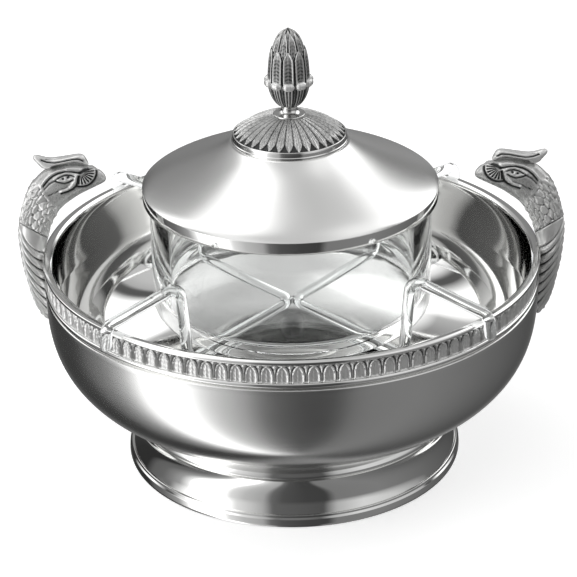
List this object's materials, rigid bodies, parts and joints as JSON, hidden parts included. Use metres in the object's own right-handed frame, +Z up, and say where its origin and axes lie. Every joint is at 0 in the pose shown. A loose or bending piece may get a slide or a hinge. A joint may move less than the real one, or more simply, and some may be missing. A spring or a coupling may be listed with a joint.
{
  "type": "covered serving bowl",
  "caption": "Footed silver bowl with griffin-head handles; a bent-rod glass cradle holds a glass dish under a domed lid with a pine-cone finial.",
  "frame": {"origin": "centre of the foot on the table, on the bowl's axis", "axes": "+Z up along the bowl's axis, +X through the right-hand handle, the front at -Y"},
  "size_m": [0.241, 0.22, 0.2011],
  "materials": {
    "polished_silver": "mirror polished silver",
    "satin_silver": "satin silver",
    "chased_silver": "cast and chased silver, darkened in the recesses",
    "clear_glass": "clear polished glass",
    "steel_fastener": "bright steel"
  },
  "bodies": {
    "bowl": {"bowl_shell": "satin_silver", "rim_moulding": "polished_silver", "leaf_border": "chased_silver", "border_wire": "polished_silver", "foot_collar": "polished_silver", "foot_wall": "polished_silver", "foot_ring": "polished_silver", "handle_left": "chased_silver", "handle_right": "chased_silver"},
    "cradle": {"cradle_rod_left": "clear_glass", "cradle_rod_right": "clear_glass", "cradle_bead": "clear_glass"},
    "dish": {"glass_dish": "clear_glass"},
    "lid": {"lid_dome": "satin_silver", "lid_band": "polished_silver", "lid_bezel": "polished_silver", "rosette_ring": "polished_silver", "lid_rosette": "chased_silver", "finial_stem": "polished_silver", "finial_calyx": "chased_silver", "finial_cone": "chased_silver", "finial_stud": "steel_fastener", "finial_washer": "steel_fastener", "finial_nut": "steel_fastener"}
  },
  "joints": [
    {"name": "cradle_lift", "type": "slide", "parent": "bowl", "child": "cradle", "axis": [0, 0, 1], "range_m": [0, 0.1]},
    {"name": "dish_lift", "type": "slide", "parent": "cradle", "child": "dish", "axis": [0, 0, 1], "range_m": [0, 0.08]},
    {"name": "lid_lift", "type": "slide", "parent": "dish", "child": "lid", "axis": [0, 0, 1], "range_m": [0, 0.06]}
  ]
}
